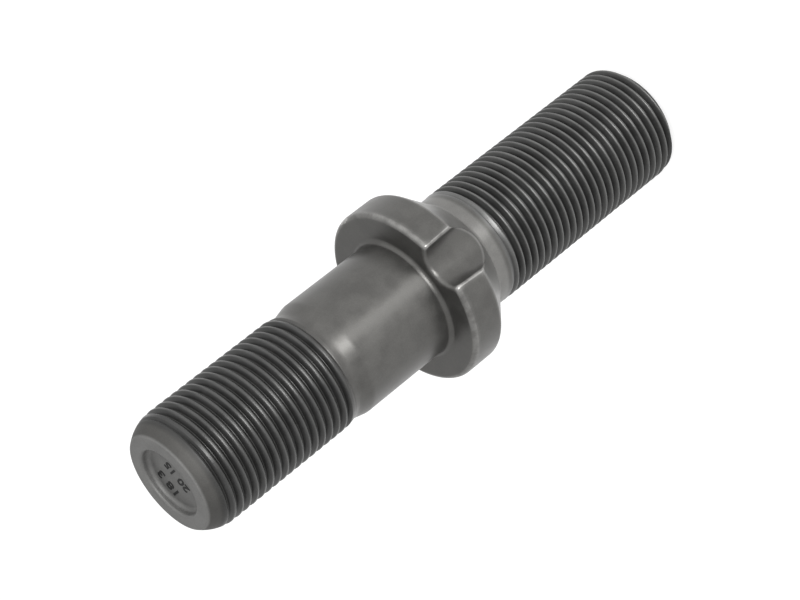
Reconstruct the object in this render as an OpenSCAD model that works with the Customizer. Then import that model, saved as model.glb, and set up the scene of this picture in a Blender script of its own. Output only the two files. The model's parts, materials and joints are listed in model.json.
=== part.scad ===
// Double-ended wheel bolt in one forged piece: a short thread for the hub, a plain shank,
// a notched collar with a conical back, and a long thread for the wheel nut.
// It stands on the flat end of its long thread, with its axis along +Z.

/* [Long end] */
// Major diameter of the long thread, at the bottom
long_thread_d = 20; // [18:0.1:20.5]
// Length of the long thread with its chamfer, from the bottom face
long_thread_l = 39.2; // [30:0.1:50]
// Width of the 45 degree chamfer on the bottom end
long_chamfer = 1.4; // [0.5:0.1:2]

/* [Neck] */
// Diameter of the plain neck between the long thread and the cone
neck_d = 19.8; // [18:0.1:20.5]
// Length of the neck, measured to where the cone would meet it
neck_l = 1.3; // [1:0.1:4]
// Radius of the hollow fillet between the neck and the cone
neck_fillet = 1; // [0.4:0.1:2]

/* [Collar] */
// Outer diameter of the collar
collar_d = 30; // [28:0.1:34]
// Length of the rim, from the seat to where the cone would meet it
rim_l = 6.2; // [5:0.1:9]
// Half of the cone's included angle
cone_half_angle = 35; // [30:1:40]
// Radius of the edges at the seat, round the rim and along the notch
seat_edge_round = 0.8; // [0.3:0.1:1.2]
// Radius of the rim's edge at the cone
rim_back_round = 0.8; // [0.3:0.1:1.5]

/* [Notch] */
// Radius of the round notch that runs along the collar
notch_r = 4.1; // [3:0.1:5]
// Depth of the notch below the rim
notch_depth = 3.1; // [2:0.1:3.3]

/* [Shank] */
// Diameter of the plain shank
shank_d = 20; // [19:0.1:21]
// Length of the shank, from the seat to the relief
shank_l = 16.7; // [12:0.1:24]
// Radius of the fillet between the shank and the seat
seat_fillet = 0.8; // [0.4:0.1:1.2]

/* [Relief] */
// Diameter of the relief between the shank and the short thread
relief_d = 19.3; // [17.5:0.1:19.3]
// Length of the slope from the shank down into the relief
relief_slope_l = 0.8; // [0.4:0.1:2]
// Length of the relief at its full depth
relief_l = 0.9; // [0.5:0.1:3]
// Length of the slope from the relief up to the short thread
runout_l = 2.8; // [1:0.1:4]

/* [Short end] */
// Major diameter of the short thread, at the top
short_thread_d = 20; // [19.5:0.1:20.5]
// Length of the short thread at its full diameter
short_thread_l = 23.6; // [16:0.1:32]
// Length of the rounded point beyond the short thread
point_l = 3.8; // [3:0.1:4.4]
// Radius of the curve that leads from the thread in to the end face
point_round = 5; // [4.8:0.1:7]
// Radius of the point's edge at the end face
point_edge_round = 0.5; // [0.2:0.1:0.8]

/* [Dish] */
// Diameter of the round dish in the end face
dish_d = 11.7; // [8:0.1:12.5]
// Depth of the dish
dish_depth = 1.5; // [0.5:0.1:2.5]
// Radius of the hollow fillet round the floor of the dish
dish_fillet = 0.6; // [0.2:0.1:1]
// Width of the chamfer round the mouth of the dish
dish_chamfer = 0.3; // [0.1:0.1:0.5]

/* [Hidden] */
$fn = 96;
// Overlap by which a cut runs past the face it opens, and a fillet is rooted in what it joins
over = 1;

long_r = long_thread_d / 2;
neck_r = neck_d / 2;
collar_r = collar_d / 2;
shank_r = shank_d / 2;
relief_r = relief_d / 2;
short_r = short_thread_d / 2;
dish_r = dish_d / 2;

// Heights along the axis, each one stacked on the one before
z_neck = long_thread_l;
z_cone = z_neck + neck_l;
z_rim = z_cone + (collar_r - neck_r) / tan(cone_half_angle);
z_seat = z_rim + rim_l;
z_shank_end = z_seat + shank_l;
z_relief = z_shank_end + relief_slope_l;
z_runout = z_relief + relief_l;
z_short_thread = z_runout + runout_l;
z_point = z_short_thread + short_thread_l;
z_end = z_point + point_l;
z_dish = z_end - dish_depth;

// Long thread at its major diameter, with the chamfer of the bottom end
module long_end_profile() {
    polygon([[0, 0], [long_r - long_chamfer, 0], [long_r, long_chamfer],
             [long_r, z_neck], [0, z_neck]]);
}

// Hollow fillet in the corner where the neck runs into the cone, rooted in both
module neck_fillet_profile() {
    reach = neck_fillet * tan(cone_half_angle / 2);
    cone_touch = [neck_r + reach * sin(cone_half_angle), z_cone + reach * cos(cone_half_angle)];
    difference() {
        polygon([[neck_r - over, z_cone - reach], [neck_r, z_cone - reach],
                 cone_touch, [neck_r - over, cone_touch.y]]);
        translate([neck_r + neck_fillet, z_cone - reach]) circle(r = neck_fillet);
    }
}

// Neck and cone up to the sharp corner of the rim
module cone_profile() {
    translate([0, z_neck]) square([neck_r, neck_l]);
    polygon([[0, z_cone], [neck_r, z_cone], [collar_r, z_rim], [0, z_rim]]);
    neck_fillet_profile();
}

// Wedge between the rounded edge at the cone and its sharp corner
module rim_back_corner() {
    reach = rim_back_round * tan(cone_half_angle / 2);
    centre = [collar_r - rim_back_round, z_rim + reach];
    difference() {
        polygon([centre, [collar_r + over, z_rim + reach], [collar_r + over, z_rim - over],
                 [collar_r - reach * sin(cone_half_angle) + over * cos(cone_half_angle),
                  z_rim - reach * cos(cone_half_angle) - over * sin(cone_half_angle)]]);
        translate(centre) circle(r = rim_back_round);
    }
}

// Quarter between the rounded edge at the seat and its sharp corner
module rim_front_corner() {
    centre = [collar_r - seat_edge_round, z_seat - seat_edge_round];
    difference() {
        translate(centre) square(seat_edge_round + over);
        translate(centre) circle(r = seat_edge_round);
    }
}

// Collar in section, with both edges of its rim rounded
module collar_profile() {
    difference() {
        union() {
            cone_profile();
            translate([0, z_rim]) square([collar_r, rim_l]);
        }
        rim_back_corner();
        rim_front_corner();
    }
}

// Plain shank, with the fillet at its seat
module shank_profile() {
    translate([0, z_seat]) square([shank_r, shank_l]);
    difference() {
        translate([shank_r - over, z_seat - over]) square(seat_fillet + over);
        translate([shank_r + seat_fillet, z_seat + seat_fillet]) circle(r = seat_fillet);
    }
}

// Relief, with a short slope to the shank and a longer one to the thread
module relief_profile() {
    polygon([[0, z_shank_end], [shank_r, z_shank_end], [relief_r, z_relief],
             [relief_r, z_runout], [short_r, z_short_thread], [0, z_short_thread]]);
}

// Short thread at its major diameter, and the point that curves in to the end face
module short_end_profile() {
    arc_x = short_r - point_round;
    // Centre of the small edge circle, which touches the end face and the long curve from inside
    edge_x = arc_x + sqrt(pow(point_round - point_edge_round, 2) - pow(point_l - point_edge_round, 2));
    edge_z = z_end - point_edge_round;
    turn = atan2(edge_z - z_point, edge_x - arc_x);
    touch = [arc_x + point_round * cos(turn), z_point + point_round * sin(turn)];

    translate([0, z_short_thread]) square([short_r, short_thread_l]);
    difference() {
        intersection() {
            translate([0, z_point]) square([short_r, point_l]);
            union() {
                translate([arc_x, z_point]) circle(r = point_round);
                translate([0, z_point]) square([arc_x, point_l]);
            }
        }
        difference() {
            polygon([[edge_x, edge_z], touch, touch + [over, over], [edge_x, z_end + over]]);
            translate([edge_x, edge_z]) circle(r = point_edge_round);
        }
    }
}

// Round dish in the end face, as the section that is cut away
module dish_profile() {
    difference() {
        translate([0, z_dish]) square([dish_r, dish_depth + over]);
        difference() {
            translate([dish_r - dish_fillet, z_dish]) square(dish_fillet);
            translate([dish_r - dish_fillet, z_dish + dish_fillet]) circle(r = dish_fillet);
        }
    }
    polygon([[dish_r, z_end - dish_chamfer], [dish_r + dish_chamfer + over, z_end + over],
             [0, z_end + over], [0, z_end - dish_chamfer]]);
}

// Notch in section about its own axis: a round channel with a flared mouth at the seat
module notch_profile() {
    translate([0, z_neck]) square([notch_r, z_seat - z_neck + over]);
    difference() {
        translate([0, z_seat - seat_edge_round]) square([notch_r + seat_edge_round, seat_edge_round + over]);
        translate([notch_r + seat_edge_round, z_seat - seat_edge_round]) circle(r = seat_edge_round);
    }
}

// Round notch that runs along the whole rim and out through the cone, on the -Y side
module notch() {
    translate([0, notch_depth - collar_r - notch_r, 0]) rotate_extrude() notch_profile();
}

module wheel_bolt() {
    color([0.36, 0.35, 0.33])
    difference() {
        rotate_extrude() difference() {
            union() {
                long_end_profile();
                collar_profile();
                shank_profile();
                relief_profile();
                short_end_profile();
            }
            dish_profile();
        }
        notch();
    }
}

wheel_bolt();
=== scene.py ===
"""Looks of a double-ended wheel bolt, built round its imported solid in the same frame.

The bolt is one piece of steel, so its skin is one closed mesh. The plain sections are spun from
their outlines, both threads are screwed from the outline of one turn, and the notch is pressed
into the collar. Sizes in the classes are in millimetres and become metres as points are placed.
"""

import json
import logging
import math
from collections.abc import Callable
from dataclasses import dataclass
from enum import Enum

import bpy
import numpy as np
from mathutils import Matrix, Vector

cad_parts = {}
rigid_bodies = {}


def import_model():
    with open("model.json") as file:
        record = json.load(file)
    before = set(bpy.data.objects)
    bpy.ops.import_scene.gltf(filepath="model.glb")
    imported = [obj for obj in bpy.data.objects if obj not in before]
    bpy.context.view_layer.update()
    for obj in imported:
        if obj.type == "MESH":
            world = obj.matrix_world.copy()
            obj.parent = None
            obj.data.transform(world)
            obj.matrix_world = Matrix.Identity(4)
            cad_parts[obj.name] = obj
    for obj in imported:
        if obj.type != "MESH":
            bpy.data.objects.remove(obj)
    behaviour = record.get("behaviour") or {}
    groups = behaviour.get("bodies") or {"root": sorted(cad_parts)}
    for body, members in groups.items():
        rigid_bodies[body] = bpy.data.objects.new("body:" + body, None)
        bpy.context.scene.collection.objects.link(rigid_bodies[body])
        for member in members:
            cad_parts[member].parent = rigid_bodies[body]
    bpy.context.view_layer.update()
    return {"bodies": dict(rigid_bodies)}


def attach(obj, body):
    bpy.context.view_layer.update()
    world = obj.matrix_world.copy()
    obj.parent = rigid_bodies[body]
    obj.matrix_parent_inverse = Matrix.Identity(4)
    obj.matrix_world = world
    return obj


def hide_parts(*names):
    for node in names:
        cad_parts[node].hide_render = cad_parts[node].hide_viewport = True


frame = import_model()

log = logging.getLogger("wheel_bolt")

MM = 0.001
BODY = "root" if "root" in frame["bodies"] else next(iter(frame["bodies"]))
NODE = "wheel_bolt"

# Distances in metres under which points are welded: in a piece, and from piece to piece
SPUN_WELD = 0.5e-6
PIECE_WELD = 1e-6
RING_WELD = 2e-6

# Station from which the collar's columns stay where they are
RIM_STATION = 3.0

Point = tuple[float, float]
Outline = list[Point]
Span = tuple[float, float]
Colour = tuple[float, float, float]
Profile = Callable[[np.ndarray], np.ndarray]
Socket = bpy.types.NodeSocket
Value = Socket | float


def select_only(piece: bpy.types.Object) -> None:
    """Leaves one object selected and active.

    Args:
        piece: The object to work on.
    """
    bpy.ops.object.select_all(action="DESELECT")
    piece.select_set(True)
    bpy.context.view_layer.objects.active = piece


def open_mesh(piece: bpy.types.Object) -> None:
    """Opens a piece in edit mode with all of it selected."""
    select_only(piece)
    bpy.ops.object.mode_set(mode="EDIT")
    bpy.ops.mesh.select_all(action="SELECT")


def close_mesh() -> None:
    """Goes back to object mode."""
    bpy.ops.object.mode_set(mode="OBJECT")


def join_pieces(pieces: list[bpy.types.Object], name: str) -> bpy.types.Object:
    """Joins pieces into the first of them, which gets the name and stays selected and active."""
    select_only(pieces[0])
    for piece in pieces:
        piece.select_set(True)
    bpy.ops.object.join()
    joined = bpy.context.active_object
    joined.name = joined.data.name = name
    return joined


def read_points(piece: bpy.types.Object) -> np.ndarray:
    """Reads a piece's vertices.

    Args:
        piece: A mesh object at the origin.

    Returns:
        Its points in millimetres, one row each.
    """
    points = np.empty(len(piece.data.vertices) * 3, np.float64)
    piece.data.vertices.foreach_get("co", points)
    return points.reshape(-1, 3) / MM


def write_points(piece: bpy.types.Object, points: np.ndarray) -> None:
    """Puts a piece's vertices at points given in millimetres."""
    piece.data.vertices.foreach_set("co", (points * MM).astype(np.float32).ravel())
    piece.data.update()


def trace_outline(name: str, outline: Outline) -> bpy.types.Object:
    """Draws an outline in the XZ plane by extruding one vertex from point to point.

    Args:
        name: Name of the new object.
        outline: Radius and height of each point, in millimetres.

    Returns:
        The object that holds the line.
    """
    bpy.ops.object.select_all(action="DESELECT")
    bpy.ops.mesh.primitive_plane_add(size=MM, location=(0, 0, 0))
    line = bpy.context.active_object
    line.name = line.data.name = name
    open_mesh(line)
    bpy.ops.mesh.merge(type="CENTER")
    first_r, first_z = outline[0]
    bpy.ops.transform.translate(value=(first_r * MM, 0, first_z * MM))
    for (r0, z0), (r1, z1) in zip(outline, outline[1:]):
        step = ((r1 - r0) * MM, 0, (z1 - z0) * MM)
        bpy.ops.mesh.extrude_region_move(TRANSFORM_OT_translate={"value": step})
    close_mesh()
    return line


def arc(centre: Point, radius: float, start: float, end: float, steps: int) -> Outline:
    """Points along a round in the outline.

    Args:
        centre: Radius and height of its centre.
        radius: Its radius.
        start: Angle of its first point, in degrees from straight outwards.
        end: Angle of its last point.
        steps: How many pieces it is cut into.

    Returns:
        steps + 1 points.
    """
    turns = np.radians(np.linspace(start, end, steps + 1))
    return [(centre[0] + radius * math.cos(a), centre[1] + radius * math.sin(a)) for a in turns]


def between(first: Point, last: Point, steps: int) -> Outline:
    """Points on the straight between two corners, without the corners."""
    shares = np.linspace(0, 1, steps + 1)[1:-1]
    return [tuple(np.add(np.multiply(first, 1 - s), np.multiply(last, s))) for s in shares]


def smoothstep(low: float, high: float, value: np.ndarray) -> np.ndarray:
    """Share from 0 at low to 1 at high, with soft ends."""
    share = np.clip((value - low) / (high - low), 0, 1)
    return share * share * (3 - 2 * share)


def soft_lower(first: np.ndarray, second: np.ndarray, ease: float) -> np.ndarray:
    """The lower of two radii, with the corner between them eased.

    Args:
        first: Radii of one form.
        second: Radii of the other.
        ease: How far apart they may be and still be blended.

    Returns:
        The radii of what both forms leave.
    """
    share = np.clip(0.5 + 0.5 * (second - first) / ease, 0, 1)
    return second * (1 - share) + first * share - ease * share * (1 - share)


@dataclass(frozen=True)
class BoltSizes:
    """Heights and radii that the sections share.

    The length, the seat, the shank and the collar's width are the solid's. The cone, the notch,
    the relief and the point are closer to the real bolt, and differ from the solid a little.
    """

    long_r: float = 10.0
    long_chamfer: float = 1.4
    neck_r: float = 9.9
    neck_z: float = 39.8
    cone_z: float = 42.9
    cone_angle: float = math.radians(43.5)
    neck_fillet: float = 1.0
    collar_r: float = 15.0
    rim_l: float = 5.71
    edge_round: float = 0.8
    back_round: float = 0.8
    notch_back_round: float = 0.3
    notch_r: float = 3.76
    notch_depth: float = 3.05
    notch_end_h: float = 0.3
    shank_r: float = 10.0
    shank_l: float = 16.7
    seat_fillet: float = 0.8
    relief_r: float = 9.45
    relief_slope_l: float = 2.2
    relief_l: float = 0.5
    relief_ease: float = 0.3
    runout_l: float = 1.8
    short_r: float = 9.85
    short_thread_l: float = 22.6
    point_l: float = 4.8
    point_round: float = 7.2
    point_edge_round: float = 0.5
    dish_r: float = 5.7
    dish_depth: float = 1.5
    dish_fillet: float = 0.7
    dish_lip: float = 0.48

    @property
    def rim_z(self) -> float:
        """Height where the cone would meet the rim."""
        return self.cone_z + (self.collar_r - self.neck_r) / math.tan(self.cone_angle)

    @property
    def seat_z(self) -> float:
        """Height of the seat."""
        return self.rim_z + self.rim_l

    @property
    def shank_end_z(self) -> float:
        """Height where the shank slopes into the relief."""
        return self.seat_z + self.shank_l

    @property
    def short_z(self) -> float:
        """Height where the short thread reaches its full diameter."""
        return self.shank_end_z + self.relief_slope_l + self.relief_l + self.runout_l

    @property
    def point_z(self) -> float:
        """Height where the point starts to curve in."""
        return self.short_z + self.short_thread_l

    @property
    def end_z(self) -> float:
        """Height of the end face."""
        return self.point_z + self.point_l

    def relief(self, height: np.ndarray) -> np.ndarray:
        """Radius from the shank over the relief to the short thread, with eased corners."""
        slope_end = self.shank_end_z + self.relief_slope_l
        heights = (self.shank_end_z, slope_end, slope_end + self.relief_l, self.short_z)
        radii = (self.shank_r, self.relief_r, self.relief_r, self.short_r)
        shifts = np.linspace(-self.relief_ease, self.relief_ease, 9)
        return np.mean([np.interp(height + shift, heights, radii) for shift in shifts], axis=0)

    def point(self, height: np.ndarray) -> np.ndarray:
        """Radius of the point's long curve."""
        rise = np.clip(height - self.point_z, 0, self.point_round)
        return self.short_r - self.point_round + np.sqrt(self.point_round**2 - rise**2)


@dataclass(frozen=True)
class NotchOutline:
    """Outline of the notched collar across the axis, at any height.

    A station tells where on the outline a mesh column lies. It runs from 0 in the middle of the
    notch to 1 where its wall ends, to 2 where the rounded corner ends, and to 3 on the rim where
    the columns are no longer moved, which is RIM_STATION.
    """

    sizes: BoltSizes
    corner_round: float = 0.5
    reach: float = math.radians(24)
    towards: float = math.radians(270)

    @property
    def lean(self) -> float:
        """How far in the floor goes for each millimetre down."""
        s = self.sizes
        drop = s.collar_r - s.notch_depth - s.neck_r - s.notch_end_h
        return drop / (s.seat_z - s.cone_z)

    def trace(
        self, station: np.ndarray, height: np.ndarray, inset: float = 0.0
    ) -> tuple[np.ndarray, np.ndarray]:
        """Finds points of one half of the outline.

        Args:
            station: Where each point lies on the outline.
            height: Its height.
            inset: How far the whole outline is set in, at the rounded edge of the seat.

        Returns:
            The radius of each point and its angle from the middle of the notch.
        """
        s, bend = self.sizes, self.corner_round
        gap = s.notch_r + inset + bend
        away = s.collar_r - s.notch_depth - (s.seat_z - height) * self.lean + s.notch_r
        rim = s.collar_r - inset
        far = rim - bend
        rim_end = np.arccos((far**2 + away**2 - gap**2) / (2 * far * away))
        corner_x, corner_y = far * np.sin(rim_end), far * np.cos(rim_end)
        turn = np.arctan2(corner_x, away - corner_y) * np.clip(station, 0, 1)
        first = np.arctan2(-corner_x, away - corner_y)
        swing = first + (rim_end - first) * np.clip(station - 1, 0, 1)
        angle = rim_end + (self.reach - rim_end) * np.clip(station - 2, 0, 1)
        wall = gap - bend
        parts = [station <= 1, station <= 2]
        sideways = [wall * np.sin(turn), corner_x + bend * np.sin(swing)]
        outwards = [away - wall * np.cos(turn), corner_y + bend * np.cos(swing)]
        across = np.select(parts, sideways, rim * np.sin(angle))
        along = np.select(parts, outwards, rim * np.cos(angle))
        return np.hypot(across, along), np.arctan2(across, along)

    def stations(self) -> list[float]:
        """Stations at which one half of the outline has its mesh columns."""
        wall = np.linspace(0, 1, 11)
        corner = (1.2, 1.4, 1.6, 1.8, 2.0)
        rim = (2.3, 2.65)
        return [*wall, *corner, *rim]


@dataclass(frozen=True)
class ColumnPlan:
    """Mesh columns round the axis, close together at the notch."""

    notch: NotchOutline
    step: float = 3.0

    def columns(self) -> tuple[np.ndarray, np.ndarray]:
        """Plans the columns.

        Returns:
            Their angles from +X, counter-clockwise seen from above, and their stations, with a
            minus sign on the side of the notch where the angles are lower.
        """
        stations = np.array(self.notch.stations())
        _, half = self.notch.trace(stations, np.full(len(stations), self.notch.sizes.seat_z))
        pairs = []
        for side in (-1, 1):
            pairs += [
                (self.notch.towards + side * angle, side * station)
                for angle, station in zip(half, stations)
                if station or side > 0
            ]
        reach = round(math.degrees(self.notch.reach))
        middle = round(math.degrees(self.notch.towards))
        rim = np.arange(middle - 360 + reach, middle - reach + self.step / 2, self.step)
        pairs += [(math.radians(angle), RIM_STATION) for angle in rim]
        turns, stations = np.array(pairs).T
        turns = np.mod(turns, math.tau)
        turns[np.isclose(turns, math.tau, atol=1e-6)] = 0
        order = np.argsort(turns)
        return turns[order], stations[order]


class Zone(Enum):
    """Where a row of the collar lies."""

    FIXED = "fixed"
    CONE = "cone"
    BACK = "back edge"
    RIM = "rim"
    EDGE = "seat edge"
    SEAT = "seat"


@dataclass(frozen=True)
class Row:
    """A row of the mesh, with its share of the way through its zone."""

    r: float
    z: float
    zone: Zone = Zone.FIXED
    share: float = 0.0


class TurnedSection:
    """A plain section of the bolt, spun from its outline."""

    def __init__(self, name: str, rows: list[Row], columns: np.ndarray) -> None:
        """Takes the section's outline.

        Args:
            name: Name of its object until the sections are joined.
            rows: Its points, from one end to the other.
            columns: Angles of the mesh columns.
        """
        self.name = name
        self.rows = rows
        self.columns = columns

    def place(self, row: Row) -> np.ndarray:
        """Finds the points of one row.

        Args:
            row: The row.

        Returns:
            A point for each column.
        """
        turned = row.r * np.stack([np.cos(self.columns), np.sin(self.columns)], axis=1)
        return np.column_stack([turned, np.full(len(self.columns), row.z)])

    def build(self) -> bpy.types.Object:
        """Spins the outline and moves each column to its planned angle.

        Returns:
            The section, open where the next one joins on.
        """
        piece = trace_outline(self.name, [(row.r, row.z) for row in self.rows])
        open_mesh(piece)
        count = len(self.columns)
        bpy.ops.mesh.spin(steps=count, angle=math.tau, center=(0, 0, 0), axis=(0, 0, 1))
        bpy.ops.mesh.select_all(action="SELECT")
        bpy.ops.mesh.remove_doubles(threshold=SPUN_WELD)
        close_mesh()
        points = read_points(piece)
        radius = np.hypot(points[:, 0], points[:, 1])
        outline = np.array([(row.r, row.z) for row in self.rows])
        gaps = np.hypot(radius[:, None] - outline[:, 0], points[:, 2, None] - outline[:, 1])
        turns = np.arctan2(points[:, 1], points[:, 0])
        column = np.rint(turns / math.tau * count).astype(int) % count
        grid = np.array([self.place(row) for row in self.rows])
        write_points(piece, grid[gaps.argmin(axis=1), column])
        return piece


class CollarSection(TurnedSection):
    """The neck, the notched collar, the shank and the relief.

    The steps are shares of the way through a zone at which rows lie. back_blend is how far in
    from the rim the edge at the cone is as in the notch, and how far in it is as on the rim.
    """

    cone_steps: tuple[float, ...] = (0.14, 0.3, 0.5, 0.7, 0.88, 1)
    back_steps: tuple[float, ...] = (0.2, 0.4, 0.6, 0.8, 1)
    rim_steps: tuple[float, ...] = (0.12, 0.3, 0.5, 0.7, 0.88, 1)
    relief_lead: float = 0.7
    back_blend: Span = (1.0, 0.1)
    back_room: float = 0.7

    def __init__(self, sizes: BoltSizes, plan: ColumnPlan, low: float, high: float) -> None:
        """Lays out the rows from the neck up to the short thread.

        Args:
            sizes: The bolt's sizes.
            plan: The mesh columns, with the notch.
            low: Height where the long thread's mesh ends.
            high: Height where the short thread's mesh starts.
        """
        self.sizes = sizes
        self.notch = plan.notch
        angles, self.stations = plan.columns()
        super().__init__("collar", self.lay_out(low, high), angles)
        self.angle = np.mod(angles - self.notch.towards + math.pi, math.tau) - math.pi
        self.wall_z = self.find_cone_top()

    def lay_out(self, low: float, high: float) -> list[Row]:
        """Lists the rows away from the notch."""
        s = self.sizes
        reach = s.neck_fillet * math.tan(s.cone_angle / 2)
        turn = math.degrees(s.cone_angle)
        centre = (s.neck_r + s.neck_fillet, s.cone_z - reach)
        hollow = arc(centre, s.neck_fillet, 180, 180 - turn, 6)
        self.cone_start = hollow[-1]
        rows = [Row(s.neck_r, low), Row(s.neck_r, (low + hollow[0][1]) / 2)]
        rows += [Row(*point) for point in hollow]
        shares = {
            Zone.CONE: self.cone_steps,
            Zone.BACK: self.back_steps,
            Zone.RIM: self.rim_steps,
        }
        shapes = {Zone.CONE: self.cone_end, Zone.BACK: self.back, Zone.RIM: self.rim}
        for zone, steps in shares.items():
            rows += [Row(*shapes[zone](s.collar_r, share), zone, share) for share in steps]
        for share in np.linspace(0, 1, 8)[1:]:
            inset, rise = self.edge(share)
            rows.append(Row(s.collar_r - inset, rise, Zone.EDGE, share))
        outer, inner = s.collar_r - s.edge_round, s.shank_r + s.seat_fillet
        for share in (0.25, 0.5, 0.75):
            rows.append(Row(outer + (inner - outer) * share, s.seat_z, Zone.SEAT, share))
        root = arc((inner, s.seat_z + s.seat_fillet), s.seat_fillet, 270, 180, 6)
        shank_top = s.shank_end_z - self.relief_lead
        rows += [Row(*point) for point in root]
        rows += [Row(*point) for point in between(root[-1], (s.shank_r, shank_top), 7)]
        return rows + [Row(float(s.relief(z)), z) for z in np.linspace(shank_top, high, 17)]

    def find_cone_top(self) -> np.ndarray:
        """Finds the height at which each column's cone would meet the rim or the notch."""
        height = np.full(len(self.stations), self.sizes.rim_z)
        for _ in range(12):
            radius, _ = self.notch.trace(abs(self.stations), height)
            height = self.corner_z(radius)
        return height

    def cone_end(self, radius: float, share: float) -> tuple[float, float]:
        """Point on the cone, on the way to where its edge at that radius is rounded."""
        s = self.sizes
        cut = self.round_at(radius) * math.tan(s.cone_angle / 2)
        end = radius - cut * math.sin(s.cone_angle)
        r = self.cone_start[0] + (end - self.cone_start[0]) * share
        return r, self.corner_z(r)

    def round_at(self, radius: float) -> float:
        """Radius of the edge at the cone: smaller in the notch, and least where it runs out."""
        s = self.sizes
        low, high = self.back_blend
        share = smoothstep(s.collar_r - low, s.collar_r - high, np.array(radius))
        bend = s.notch_back_round + (s.back_round - s.notch_back_round) * float(share)
        room = (radius - self.cone_start[0]) / (math.tan(s.cone_angle / 2) * math.sin(s.cone_angle))
        return min(bend, self.back_room * max(room, 0.0))

    def corner_z(self, radius: float) -> float:
        """Height where the cone reaches a radius."""
        return self.sizes.cone_z + (radius - self.sizes.neck_r) / math.tan(self.sizes.cone_angle)

    def back(self, radius: float, share: float) -> tuple[float, float]:
        """Point on the rounded edge between the cone and the wall at a radius."""
        bend = self.round_at(radius)
        centre_z = self.corner_z(radius) + bend * math.tan(self.sizes.cone_angle / 2)
        turn = self.sizes.cone_angle * (share - 1)
        return radius - bend + bend * math.cos(turn), centre_z + bend * math.sin(turn)

    def rim(self, radius: float, share: float) -> tuple[float, float]:
        """Point on the wall between its two rounded edges."""
        low = self.back(radius, 1)[1]
        high = self.sizes.seat_z - self.sizes.edge_round
        return radius, low + (high - low) * share

    def edge(self, share: float) -> tuple[float, float]:
        """How far in and how high a point of the seat's rounded edge lies."""
        bend, turn = self.sizes.edge_round, share * math.pi / 2
        return bend * (1 - math.cos(turn)), self.sizes.seat_z - bend * (1 - math.sin(turn))

    def place(self, row: Row) -> np.ndarray:
        """Finds the points of one row, pressed in at the notch."""
        if row.zone is Zone.FIXED:
            return super().place(row)
        s, station = self.sizes, abs(self.stations)
        if row.zone is Zone.EDGE:
            inset, rise = self.edge(row.share)
            radius, turned = self.notch.trace(station, rise, inset)
            return self.points(radius, turned, np.full(len(station), rise))
        if row.zone is Zone.SEAT:
            outer, turned = self.notch.trace(station, s.seat_z, s.edge_round)
            radius = outer + (s.shank_r + s.seat_fillet - outer) * row.share
            turned = turned + (abs(self.angle) - turned) * row.share
            return self.points(radius, turned, np.full(len(station), s.seat_z))
        top, turned = self.notch.trace(station, self.wall_z)
        shape = {Zone.CONE: self.cone_end, Zone.BACK: self.back, Zone.RIM: self.rim}[row.zone]
        radius, height = np.array([shape(r, row.share) for r in top]).T
        if row.zone is Zone.CONE:
            turned = abs(self.angle) + (turned - abs(self.angle)) * row.share
        if row.zone is Zone.RIM:
            radius, turned = self.notch.trace(station, height)
        return self.points(radius, turned, height)

    def points(self, radius: np.ndarray, turned: np.ndarray, height: np.ndarray) -> np.ndarray:
        """Points from radii, angles from the notch and heights."""
        near = abs(self.stations) < RIM_STATION
        turn = np.where(near, np.sign(self.stations) * turned, self.angle) + self.notch.towards
        return np.column_stack([radius * np.cos(turn), radius * np.sin(turn), height])


@dataclass(frozen=True)
class ThreadForm:
    """One turn of a right-hand thread.

    Attributes:
        crest_z: Height of a crest on the side of the notch.
        shares: Places across half a pitch, from the crest to the root.
        heights: Share of the depth that the thread has there.
        start_z: Height at which the groove is lost in the plain part, and full_z, at which it
            has its full depth.
    """

    major_r: float
    crest_z: float
    start_z: float
    full_z: float
    shares: tuple[float, ...]
    heights: tuple[float, ...]
    tip_z: float = math.inf
    pitch: float = 1.5
    depth: float = 0.92

    def outline(self) -> Outline:
        """Radius and height of the points across one turn, from root to root."""
        half = list(zip(self.shares, self.heights))
        below = [(-s, h) for s, h in reversed(half[1:])]
        return [(self.major_r - self.depth * (1 - h), s * self.pitch) for s, h in below + half]

    def radius(self, turn: np.ndarray, height: np.ndarray) -> np.ndarray:
        """Radius of the endless thread, with its groove fading towards start_z.

        Args:
            turn: Angle of each point from +X.
            height: Its height.

        Returns:
            A radius for each point.
        """
        rise = self.pitch * (turn + math.pi / 2) / math.tau
        share = (height - self.crest_z - rise) / self.pitch
        off = abs(share - np.rint(share))
        groove = 1 - np.interp(off, self.shares, self.heights)
        fade = smoothstep(self.start_z, self.full_z, height)
        if self.tip_z < math.inf:
            fade *= smoothstep(self.tip_z, self.tip_z - self.pitch, height)
        return self.major_r - self.depth * groove * fade


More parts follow.
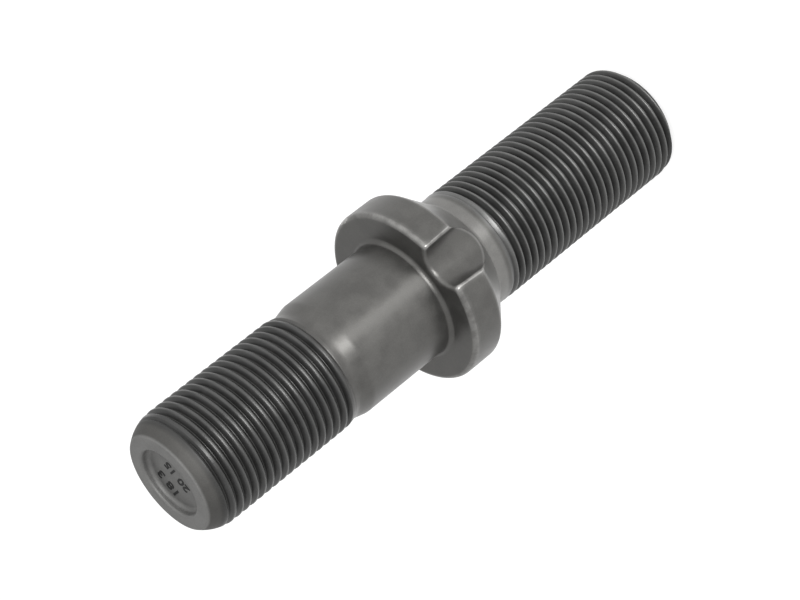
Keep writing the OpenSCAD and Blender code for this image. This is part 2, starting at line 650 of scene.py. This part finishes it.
class ThreadSleeve:
    """The skin of a thread, screwed from one turn and trimmed to its length.

    Points within snap of an end are put on it, and ease softens where the turns meet the blank.
    """

    snap: float = 0.03
    ease: float = 0.05

    def __init__(
        self, name: str, form: ThreadForm, limit: Profile, span: Span, columns: np.ndarray
    ) -> None:
        """Takes the thread's form and the blank it is rolled on.

        Args:
            name: Name of its object until the sections are joined.
            form: Shape and place of its turns.
            limit: Gives the blank's radius at each height.
            span: Lowest and highest height of the sleeve.
            columns: Angles of the mesh columns.
        """
        self.name = name
        self.form = form
        self.limit = limit
        self.span = span
        self.columns = columns

    def build(self) -> bpy.types.Object:
        """Screws one turn up the whole length, then shapes and trims it.

        Returns:
            The sleeve, open at both ends, each a ring at the end of its span.
        """
        form, count = self.form, len(self.columns)
        low, high = self.span
        first = form.crest_z + form.pitch / 4
        first -= form.pitch * math.ceil((first - low) / form.pitch + 2)
        piece = trace_outline(self.name, [(r, z + first) for r, z in form.outline()])
        screw = piece.modifiers.new("turns", "SCREW")
        screw.axis = "Z"
        screw.angle = math.tau
        screw.screw_offset = form.pitch * MM
        screw.iterations = math.ceil((high - low) / form.pitch) + 4
        screw.steps = screw.render_steps = count
        screw.use_merge_vertices = False
        select_only(piece)
        bpy.ops.object.modifier_apply(modifier=screw.name)
        self.shape(piece)
        open_mesh(piece)
        bpy.ops.mesh.remove_doubles(threshold=PIECE_WELD)
        close_mesh()
        return piece

    def shape(self, piece: bpy.types.Object) -> None:
        """Moves the turns to the planned columns, trims them and fades them out."""
        low, high = self.span
        points = read_points(piece)
        count = len(self.columns)
        even = np.mod(np.arctan2(points[:, 1], points[:, 0]), math.tau)
        column = np.rint(even / math.tau * count).astype(int) % count
        turn = self.columns[column]
        even = column * math.tau / count
        height = points[:, 2] + self.form.pitch * (turn - even) / math.tau
        height[height < low + self.snap] = low
        height[height > high - self.snap] = high
        limit = self.limit(height)
        radius = soft_lower(limit, self.form.radius(turn, height), self.ease)
        write_points(piece, np.column_stack([radius * np.cos(turn), radius * np.sin(turn), height]))


class WheelBolt:
    """The whole bolt: two threads, shank and notched collar in one skin.

    The four heights are where the meshes of the threads start and end. foot_edge is how far the
    foot's corner is eased, and neck_blend how far below and above neck_z the thread fades out.
    """

    foot_top: float = 0.15
    long_top: float = 40.5
    short_low: float = 73.1
    short_top: float = 101.95
    foot_edge: float = 0.06
    neck_blend: Span = (0.5, 0.4)
    normal_weight: int = 70

    def __init__(self, sizes: BoltSizes) -> None:
        """Takes the bolt's sizes and plans its mesh columns."""
        self.sizes = sizes
        self.plan = ColumnPlan(NotchOutline(sizes))
        self.columns, _ = self.plan.columns()

    def foot_rows(self) -> list[Row]:
        """Rows of the flat end of the long thread, from the axis out."""
        edge, ease = self.sizes.long_r - self.sizes.long_chamfer, self.foot_edge
        flat = [(0, 0), (3, 0), (6, 0), (edge - 0.35, 0), (edge - ease, 0)]
        chamfer = [(edge + rise, rise) for rise in (ease, self.foot_top)]
        return [Row(*point) for point in flat + chamfer]

    def head_rows(self) -> list[Row]:
        """Rows from the rounded point over the end face into the dish and to the axis."""
        s = self.sizes
        start = s.short_r - s.point_round
        edge_z = s.end_z - s.point_edge_round
        reach, rise = s.point_round - s.point_edge_round, s.point_l - s.point_edge_round
        edge_r = start + math.sqrt(reach**2 - rise**2)
        turn = math.degrees(math.atan2(edge_z - s.point_z, edge_r - start))
        first = math.degrees(math.asin((self.short_top - s.point_z) / s.point_round))
        floor_z = s.end_z - s.dish_depth
        floor_r = s.dish_r - s.dish_fillet
        lip = s.dish_lip
        rows = arc((start, s.point_z), s.point_round, first, turn, 3)[:-1]
        rows += arc((edge_r, edge_z), s.point_edge_round, turn, 90, 5)
        rows += between(rows[-1], (s.dish_r + lip, s.end_z), 3)
        rows += arc((s.dish_r + lip, s.end_z - lip), lip, 90, 180, 5)
        rows += arc((floor_r, floor_z + s.dish_fillet), s.dish_fillet, 0, -90, 6)
        rows += [(floor_r * share, floor_z) for share in (0.75, 0.5, 0.25, 0)]
        return [Row(*point) for point in rows]

    def long_limit(self, height: np.ndarray) -> np.ndarray:
        """Radius of the blank under the long thread, with its chamfer and the neck."""
        s = self.sizes
        below, above = self.neck_blend
        chamfer = s.long_r - s.long_chamfer + height
        share = smoothstep(s.neck_z - below, s.neck_z + above, height)
        return np.minimum(chamfer, s.long_r - (s.long_r - s.neck_r) * share)

    def short_limit(self, height: np.ndarray) -> np.ndarray:
        """Radius of the blank under the short thread, with the relief and the point."""
        return np.minimum(self.sizes.relief(height), self.sizes.point(height))

    def threads(self) -> list[ThreadSleeve]:
        """The long thread, with keen crests, and the short one, with full round crests."""
        keen = ThreadForm(
            major_r=self.sizes.long_r,
            crest_z=1.35,
            start_z=40.15,
            full_z=38.2,
            shares=(0, 0.05, 0.1, 0.4, 0.5),
            heights=(1, 0.985, 0.92, 0.06, 0),
            depth=0.92,
        )
        full = ThreadForm(
            major_r=self.sizes.short_r,
            crest_z=0.03,
            start_z=73.0,
            full_z=75.7,
            tip_z=101.1,
            shares=(0, 0.08, 0.16, 0.24, 0.42, 0.5),
            heights=(1, 0.97, 0.87, 0.7, 0.1, 0),
            depth=0.7,
        )
        low_span = (self.foot_top, self.long_top)
        high_span = (self.short_low, self.short_top)
        return [
            ThreadSleeve("long_thread", keen, self.long_limit, low_span, self.columns),
            ThreadSleeve("short_thread", full, self.short_limit, high_span, self.columns),
        ]

    def build(self) -> bpy.types.Object:
        """Makes every section, joins them and welds their rings.

        Returns:
            The bolt as one closed mesh.
        """
        sections = [
            TurnedSection("foot", self.foot_rows(), self.columns),
            *self.threads(),
            CollarSection(self.sizes, self.plan, self.long_top, self.short_low),
            TurnedSection("head", self.head_rows(), self.columns),
        ]
        pieces = []
        for section in sections:
            piece = section.build()
            log.info("%s: %d vertices", section.name, len(piece.data.vertices))
            pieces.append(piece)
        bolt = join_pieces(pieces, "bolt_steel")
        open_mesh(bolt)
        bpy.ops.mesh.remove_doubles(threshold=RING_WELD)
        bpy.ops.mesh.normals_make_consistent(inside=False)
        close_mesh()
        self.smooth(bolt)
        return bolt

    def smooth(self, bolt: bpy.types.Object) -> None:
        """Smooths the skin, with normals held by its flat faces.

        The weights are only right on a large mesh, so it is made 1000 times larger meanwhile.
        """
        bpy.ops.object.shade_smooth()
        points = read_points(bolt)
        write_points(bolt, points / MM)
        weigh = bolt.modifiers.new("flat faces keep their normals", "WEIGHTED_NORMAL")
        weigh.mode = "FACE_AREA"
        weigh.weight = self.normal_weight
        bpy.ops.object.modifier_apply(modifier=weigh.name)
        write_points(bolt, points)


@dataclass(frozen=True)
class DishDigits:
    """Plain raised numbers on the floor of the dish.

    weight widens each stroke. A line is its text, its height on the page and its size.
    """

    floor_z: float = 101.09
    rise: float = 0.05
    weight: float = 0.06
    smooth_angle: float = 40.0
    lines: tuple[tuple[str, float, float], ...] = (("18 3", 3.3, 2.7), ("20 15", -0.6, 2.35))

    def build(self) -> bpy.types.Object:
        """Writes each line, makes it a mesh and sinks its back into the floor.

        Returns:
            All the digits as one object.
        """
        pieces = []
        for text, middle, size in self.lines:
            bpy.ops.object.select_all(action="DESELECT")
            bpy.ops.object.text_add(location=(0, 0, 0))
            line = bpy.context.active_object
            line.data.body = text
            line.data.align_x = "CENTER"
            line.data.align_y = "CENTER"
            line.data.size = size * MM
            line.data.extrude = self.rise * MM
            line.data.offset = self.weight * MM
            bpy.ops.object.convert(target="MESH")
            open_mesh(line)
            bpy.ops.mesh.remove_doubles(threshold=PIECE_WELD)
            bpy.ops.mesh.normals_make_consistent(inside=False)
            bpy.ops.transform.translate(value=(0, middle * MM, self.floor_z * MM))
            close_mesh()
            pieces.append(line)
        digits = join_pieces(pieces, "dish_digits")
        bpy.ops.object.shade_smooth_by_angle(angle=math.radians(self.smooth_angle))
        return digits


class Nodes:
    """A node tree that is filled a node at a time."""

    def __init__(self, tree: bpy.types.NodeTree) -> None:
        """Takes the tree to fill."""
        self.tree = tree

    def add(self, kind: str, inputs: dict | None = None, **settings) -> bpy.types.Node:
        """Adds a node.

        Args:
            kind: Its type.
            inputs: A value or an output socket for each input, by name or number.
            settings: Its own settings.

        Returns:
            The new node.
        """
        node = self.tree.nodes.new(kind)
        for name, value in settings.items():
            setattr(node, name, value)
        for name, value in (inputs or {}).items():
            if isinstance(value, Socket):
                self.tree.links.new(value, node.inputs[name])
            else:
                node.inputs[name].default_value = value
        return node

    def maths(self, kind: str, first: Value, second: Value = 0.0) -> Socket:
        """The result of one sum on two numbers or sockets."""
        return self.add("ShaderNodeMath", {0: first, 1: second}, operation=kind).outputs[0]

    def times(self, first: Value, second: Value) -> Socket:
        """The product of two numbers or sockets."""
        return self.maths("MULTIPLY", first, second)

    def ramp(
        self, value: Value, low: Value, high: Value, start: float = 0.0, end: float = 1.0
    ) -> Socket:
        """A value that goes from start to end as another goes from low to high, with soft ends."""
        ends = {"From Min": low, "From Max": high, "To Min": start, "To Max": end}
        kind, soft = "ShaderNodeMapRange", "SMOOTHSTEP"
        return self.add(kind, {"Value": value, **ends}, interpolation_type=soft).outputs["Result"]

    def over(self, value: Value, span: Span, start: float = 0.0, end: float = 1.0) -> Socket:
        """A ramp over a span that is given in millimetres."""
        return self.ramp(value, span[0] * MM, span[1] * MM, start, end)

    def blend(self, share: Value, first: object, second: object) -> Socket:
        """A colour between two colours."""
        sockets = {0: share, 6: first, 7: second}
        return self.add("ShaderNodeMix", sockets, data_type="RGBA").outputs[2]


def fresh_nodes(owner: bpy.types.Material | bpy.types.World) -> Nodes:
    """Empties the node tree of a material or a world, to be filled anew."""
    owner.use_nodes = True
    owner.node_tree.nodes.clear()
    return Nodes(owner.node_tree)


def new_group(
    name: str, ins: dict[str, tuple[str, float]], outs: dict[str, str]
) -> tuple[bpy.types.NodeTree, Nodes]:
    """Starts a node group.

    Args:
        name: Its name.
        ins: Kind and starting value of each input.
        outs: Kind of each output.

    Returns:
        The group and the means to fill it.
    """
    group = bpy.data.node_groups.new(name, "ShaderNodeTree")
    for label, (kind, value) in ins.items():
        socket = group.interface.new_socket(label, in_out="INPUT", socket_type=kind)
        if kind == "NodeSocketFloat":
            socket.default_value = value
    for label, kind in outs.items():
        group.interface.new_socket(label, in_out="OUTPUT", socket_type=kind)
    return group, Nodes(group)


class SteelEffects:
    """Node groups that the steel materials share."""

    mottle_share: float = 0.35
    patch_scale: float = 700.0

    def __init__(self) -> None:
        """Makes each group once."""
        self.grain = self.make_grain()
        self.wear_and_highlight = self.make_wear_and_highlight()

    def make_grain(self) -> bpy.types.NodeTree:
        """Makes the phosphate's grain: a soft mottle, fine crystals and the height of both."""
        ins = {
            "Vector": ("NodeSocketVector", 0),
            "Mottle Scale": ("NodeSocketFloat", 400.0),
            "Crystal Scale": ("NodeSocketFloat", 6000.0),
        }
        outs = dict.fromkeys(("Mottle", "Crystals", "Height"), "NodeSocketFloat")
        group, n = new_group("phosphate_grain", ins, outs)
        start = n.add("NodeGroupInput").outputs
        looks = {
            "Mottle": {"Scale": start["Mottle Scale"], "Detail": 4.0, "Roughness": 0.55},
            "Crystals": {"Scale": start["Crystal Scale"], "Detail": 2.0, "Roughness": 0.6},
        }
        noises = {
            name: n.add("ShaderNodeTexNoise", {"Vector": start["Vector"], **look}).outputs[0]
            for name, look in looks.items()
        }
        soft = n.times(noises["Mottle"], self.mottle_share)
        height = n.maths("ADD", n.times(noises["Crystals"], 1 - self.mottle_share), soft)
        n.add("NodeGroupOutput", {**noises, "Height": height})
        return group

    def make_wear_and_highlight(self) -> bpy.types.NodeTree:
        """Makes the mask of proud edges for wear and a painted highlight, broken up so that it
        isn't even.
        """
        ins = {
            "Vector": ("NodeSocketVector", 0),
            "Low": ("NodeSocketFloat", 0.52),
            "High": ("NodeSocketFloat", 0.62),
        }
        group, n = new_group("edge_wear_and_highlight", ins, {"Mask": "NodeSocketFloat"})
        start = n.add("NodeGroupInput").outputs
        point = n.add("ShaderNodeNewGeometry").outputs["Pointiness"]
        noise = {"Vector": start["Vector"], "Scale": self.patch_scale, "Detail": 3.0}
        patchy = n.add("ShaderNodeTexNoise", noise)
        edge = n.ramp(point, start["Low"], start["High"])
        share = n.ramp(patchy.outputs[0], 0.3, 0.6, 0.45, 1.0)
        n.add("NodeGroupOutput", {"Mask": n.times(edge, share)})
        return group


@dataclass(frozen=True)
class SteelZones:
    """Heights and radii, in millimetres, over which one finish goes over into the next.

    A span named after a start or an end is one of heights. crest and root are radii of the threads,
    over which the painted highlight on the crests and the painted shade in the roots come in, and
    dish_wall is one in the dish. cone_skin lies inside the cone's surface, which starts at
    cone_foot, a radius and a height, and widens by cone_slope for each millimetre up.
    """

    long_end: Span = (39.8, 40.5)
    short_start: Span = (73.8, 75.3)
    tip_start: Span = (100.2, 101.2)
    crest: Span = (9.72, 9.97)
    root: Span = (9.1, 9.6)
    cone_start: Span = (40.4, 41.2)
    cone_end: Span = (47.9, 48.6)
    cone_skin: Span = (-0.45, -0.15)
    cone_foot: Point = (9.9, 42.9)
    cone_slope: float = 0.949
    dish_floor: Span = (100.4, 100.9)
    dish_wall: Span = (5.9, 6.3)
    end_face: Span = (102.1, 102.5)
    # heights of the collar whose proud edges get wear and a painted highlight
    wear_highlight_start: Span = (46.5, 48.0)
    wear_highlight_end: Span = (54.1, 54.5)
    tip_matt: Span = (99.6, 100.8)
    # heights over which the short end is darkened with painted shade
    short_shade: Span = (72.5, 75.5)


@dataclass(frozen=True)
class PhosphatedSteel:
    """Dark satin steel: warm on forged and turned faces, neutral and darker on the threads.

    The ground colour is on the cone and the neck, the end colour on the end face and in the dish.
    The crest colour is partly worn bright metal and partly a painted highlight on the thread
    crests, and the groove colour is painted shade in the thread roots. The worn colour is bright
    wear on the collar's proud edges and also a painted highlight along the notch's corners. The
    wear edge is how sharp an edge is where its wear and highlight start and where they are full.
    The short end is darkened with painted shade. The grain's bump is its strength and its height in
    metres.
    """

    name: str = "phosphated_steel"
    plain: Colour = (0.088, 0.0863, 0.0822)
    ground: Colour = (0.15, 0.148, 0.142)
    end: Colour = (0.205, 0.204, 0.199)
    thread: Colour = (0.062, 0.062, 0.061)
    # crest colour: partly worn bright metal, partly a painted highlight on the thread crests
    crest: Colour = (0.115, 0.115, 0.113)
    # groove colour: painted shade in the thread roots
    groove: Colour = (0.042, 0.042, 0.041)
    # bright edge wear, which is also a painted highlight along the notch's corners
    worn_highlight: Colour = (0.5, 0.495, 0.48)
    roughness: float = 0.36
    metallic: float = 0.75
    grain_scales: Point = (300.0, 5200.0)
    wear_highlight_edge: Span = (0.505, 0.545)
    wear_highlight_share: float = 0.7
    # painted shade: how far the short end's colour is darkened
    short_shade_share: float = 0.82
    tip_roughness: float = 0.26
    grain_bump: Point = (0.12, 0.00002)
    zones: SteelZones = SteelZones()

    def make(self, effects: SteelEffects) -> bpy.types.Material:
        """Builds the material.

        Args:
            effects: The shared node groups.

        Returns:
            The material, on Object coordinates.
        """
        material = bpy.data.materials.new(self.name)
        n = fresh_nodes(material)
        place = n.add("ShaderNodeTexCoord").outputs["Object"]
        axes = n.add("ShaderNodeSeparateXYZ", {0: place}).outputs
        square = n.maths("ADD", n.times(axes[0], axes[0]), n.times(axes[1], axes[1]))
        radius, height = n.maths("SQRT", square), axes[2]
        mottle, crystals = self.grain_scales
        scales = {"Vector": place, "Mottle Scale": mottle, "Crystal Scale": crystals}
        grain = n.add("ShaderNodeGroup", scales, node_tree=effects.grain).outputs
        low, high = self.wear_highlight_edge
        edges = {"Vector": place, "Low": low, "High": high}
        wear_and_highlight = n.add("ShaderNodeGroup", edges, node_tree=effects.wear_and_highlight).outputs["Mask"]
        colour = self.rub_and_highlight(n, self.mix_zones(n, radius, height), wear_and_highlight, height)
        colour = self.tone(n, colour, grain, height)
        rough = n.ramp(grain["Mottle"], 0.3, 0.7, self.roughness - 0.04, self.roughness + 0.05)
        rough = n.maths("ADD", rough, n.over(height, self.zones.tip_matt, 0.0, self.tip_roughness))
        strength, rise = self.grain_bump
        bump = {"Height": grain["Height"], "Strength": strength, "Distance": rise}
        looks = {
            "Base Color": colour,
            "Roughness": rough,
            "Normal": n.add("ShaderNodeBump", bump).outputs[0],
            "Metallic": self.metallic,
        }
        shader = n.add("ShaderNodeBsdfPrincipled", looks)
        n.add("ShaderNodeOutputMaterial", {"Surface": shader.outputs[0]})
        return material

    def mix_zones(self, n: Nodes, radius: Value, height: Value) -> Socket:
        """The colour of each part of the bolt by its radius and height, with a painted highlight on
        the thread crests and painted shade in their roots, without wear, edge highlight and grain.
        """
        z = self.zones
        low = n.over(height, z.long_end, 1, 0)
        high = n.times(n.over(height, z.short_start), n.over(height, z.tip_start, 1, 0))
        threaded = n.maths("ADD", low, high)
        # painted highlight towards the thread crests (partly worn metal), then painted shade in the
        # roots
        thread_with_painted_light = n.blend(n.over(radius, z.crest), (*self.thread, 1), (*self.crest, 1))
        thread_with_painted_light = n.blend(n.over(radius, z.root, 1, 0), thread_with_painted_light, (*self.groove, 1))
        plain = n.blend(self.on_cone(n, radius, height), (*self.plain, 1), (*self.ground, 1))
        dish = n.times(n.over(height, z.dish_floor), n.over(radius, z.dish_wall, 1, 0))
        face = n.maths("MAXIMUM", dish, n.over(height, z.end_face))
        plain = n.blend(face, plain, (*self.end, 1))
        return n.blend(threaded, plain, thread_with_painted_light)

    def on_cone(self, n: Nodes, radius: Value, height: Value) -> Socket:
        """1 on the surface of the cone and the neck, and 0 on the floor of the notch."""
        z = self.zones
        foot_r, foot_z = z.cone_foot
        band = n.times(n.over(height, z.cone_start), n.over(height, z.cone_end, 1, 0))
        slant = n.times(n.maths("SUBTRACT", height, foot_z * MM), z.cone_slope)
        inset = n.maths("SUBTRACT", n.maths("SUBTRACT", radius, foot_r * MM), slant)
        return n.times(band, n.over(inset, z.cone_skin))

    def rub_and_highlight(self, n: Nodes, colour: Value, wear_and_highlight: Value, height: Value) -> Socket:
        """Lightens the colour on the proud edges of the collar: wear, and a painted highlight along
        the notch's corners.
        """
        z = self.zones
        # wear and a painted highlight on the collar's proud edges
        collar = n.times(n.over(height, z.wear_highlight_start), n.over(height, z.wear_highlight_end, 1, 0))
        worn_and_highlit = n.times(n.times(wear_and_highlight, collar), self.wear_highlight_share)
        return n.blend(worn_and_highlit, colour, (*self.worn_highlight, 1))

    def tone(
        self, n: Nodes, colour: Value, grain: bpy.types.bpy_prop_collection, height: Value
    ) -> Socket:
        """Lightens and darkens the colour with the grain, and darkens the short end with painted
        shade.
        """
        mottle = n.ramp(grain["Mottle"], 0.3, 0.7, 0.9, 1.1)
        fleck = n.ramp(grain["Crystals"], 0.3, 0.7, 0.94, 1.06)
        # painted shade that darkens the short end
        end = n.over(height, self.zones.short_shade, 1.0, self.short_shade_share)
        both = n.times(n.times(mottle, fleck), end)
        return n.add("ShaderNodeVectorMath", {0: colour, 3: both}, operation="SCALE").outputs[0]


@dataclass(frozen=True)
class Softbox:
    """A soft lamp that the camera doesn't see."""

    name: str
    place: tuple[float, float, float]
    aim: tuple[float, float, float]
    size: tuple[float, float]
    power: float

    def hang(self) -> bpy.types.Object:
        """Hangs the lamp and turns it to its aim.

        Returns:
            The lamp.
        """
        data = bpy.data.lights.new(self.name, "AREA")
        data.shape = "RECTANGLE"
        data.size, data.size_y = self.size
        data.energy = self.power
        lamp = bpy.data.objects.new(self.name, data)
        bpy.context.scene.collection.objects.link(lamp)
        lamp.location = self.place
        lamp.rotation_mode = "QUATERNION"
        lamp.rotation_quaternion = (Vector(self.aim) - Vector(self.place)).to_track_quat("-Z", "Y")
        lamp.visible_camera = False
        return lamp


@dataclass(frozen=True)
class Studio:
    """A white floor under a white sky, with softboxes, and the camera.

    The camera's sizes and places are in millimetres, and the floor's radius is in metres. roll is
    the cosine and the sine of the picture's turn.
    """

    lens: float = 105.0
    sensor: float = 36.0
    elevation: float = math.radians(28.93)
    roll: tuple[float, float] = (0.78444, 0.6202)
    aim_z: float = 54.526
    side: float = 0.07
    distance: float = 354.58
    floor_radius: float = 4.0
    floor_tone: float = 0.5
    floor_glow: float = 0.62
    sky_light: float = 0.85
    softboxes: tuple[Softbox, ...] = (
        Softbox("key", (0.55, -0.25, 0.35), (0, 0, 0.055), (0.9, 0.9), 1.7),
        Softbox("front", (0.0, -0.5, 0.2), (0, 0, 0.06), (0.17, 0.5), 3.0),
        Softbox("low strip", (0.007, -0.075, 0.028), (0.0, 0, 0.062), (0.018, 0.05), 0.0095),
    )

    def build(self) -> None:
        """Sets up the floor, the sky, the lamps and the camera."""
        self.lay_floor()
        self.paint_sky()
        for softbox in self.softboxes:
            softbox.hang()
        self.set_camera()
        bpy.context.scene.view_settings.view_transform = "Standard"

    def seen(self, n: Nodes) -> Socket:
        """1 for a ray that shows the background: one from the camera, a mirror or glass."""
        path = n.add("ShaderNodeLightPath").outputs
        mirrored = n.maths("ADD", path["Is Glossy Ray"], path["Is Transmission Ray"])
        return n.maths("MINIMUM", n.maths("ADD", path["Is Camera Ray"], mirrored), 1.0)

    def lay_floor(self) -> None:
        """Lays a plain white floor that keeps the bolt's shadow and is clear from below."""
        bpy.ops.object.select_all(action="DESELECT")
        bpy.ops.mesh.primitive_circle_add(
            vertices=96, radius=self.floor_radius, fill_type="NGON", location=(0, 0, 0)
        )
        floor = bpy.context.active_object
        floor.name = "floor"
        material = bpy.data.materials.new("white_floor")
        n = fresh_nodes(material)
        matt = n.add("ShaderNodeBsdfDiffuse", {"Color": (*[self.floor_tone] * 3, 1)})
        strength = n.times(self.seen(n), self.floor_glow)
        glow = n.add("ShaderNodeEmission", {"Color": (1, 1, 1, 1), "Strength": strength})
        both = n.add("ShaderNodeAddShader", {0: matt.outputs[0], 1: glow.outputs[0]})
        clear = n.add("ShaderNodeBsdfTransparent")
        back = n.add("ShaderNodeNewGeometry").outputs["Backfacing"]
        mixed = n.add("ShaderNodeMixShader", {0: back, 1: both.outputs[0], 2: clear.outputs[0]})
        n.add("ShaderNodeOutputMaterial", {"Surface": mixed.outputs[0]})
        floor.data.materials.append(material)

    def paint_sky(self) -> None:
        """Makes the sky white where it is seen, and a little dimmer as a light."""
        world = bpy.data.worlds.new("sky")
        bpy.context.scene.world = world
        n = fresh_nodes(world)
        path = n.add("ShaderNodeLightPath").outputs
        strength = n.ramp(path["Is Camera Ray"], 0, 1, self.sky_light, 1.0)
        sky = n.add("ShaderNodeBackground", {"Color": (1, 1, 1, 1), "Strength": strength})
        n.add("ShaderNodeOutputWorld", {"Surface": sky.outputs[0]})

    def set_camera(self) -> None:
        """Puts the camera at the photograph's angle, turned so that the short end is near."""
        data = bpy.data.cameras.new("camera")
        data.lens = self.lens
        data.sensor_width = self.sensor
        data.clip_start, data.clip_end = 0.01, 20
        camera = bpy.data.objects.new("camera", data)
        bpy.context.scene.collection.objects.link(camera)
        forward = Vector((0, math.cos(self.elevation), -math.sin(self.elevation)))
        down_axis = Vector((0, -math.sin(self.elevation), -math.cos(self.elevation)))
        across = Vector((-1, 0, 0))
        c, s = self.roll
        right = c * down_axis + s * across
        up = s * down_axis - c * across
        turn = Matrix((right, up, -forward)).transposed()
        place = Vector((self.side * MM, 0, self.aim_z * MM)) - forward * self.distance * MM
        camera.matrix_world = Matrix.Translation(place) @ turn.to_4x4()
        bpy.context.scene.camera = camera


def dress(piece: bpy.types.Object, material: bpy.types.Material) -> None:
    """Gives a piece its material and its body."""
    piece.data.materials.clear()
    piece.data.materials.append(material)
    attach(piece, BODY)
    log.info("%s: %d faces", piece.name, len(piece.data.polygons))


def main() -> None:
    """Builds the bolt and its studio."""
    logging.basicConfig(level=logging.INFO, format="%(message)s")
    sizes = BoltSizes()
    effects = SteelEffects()
    steel = PhosphatedSteel().make(effects)
    bolt = WheelBolt(sizes).build()
    dress(bolt, steel)
    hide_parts(NODE)
    digits = DishDigits().build()
    # painted shade: the digits are near black in place of the shade that the marks' relief gives
    digit_shade = (0.025, 0.025, 0.025)
    dress(digits, PhosphatedSteel("digits_painted_shade", plain=digit_shade, end=digit_shade, worn_highlight=digit_shade).make(effects))
    Studio().build()


if __name__ == "__main__":
    main()
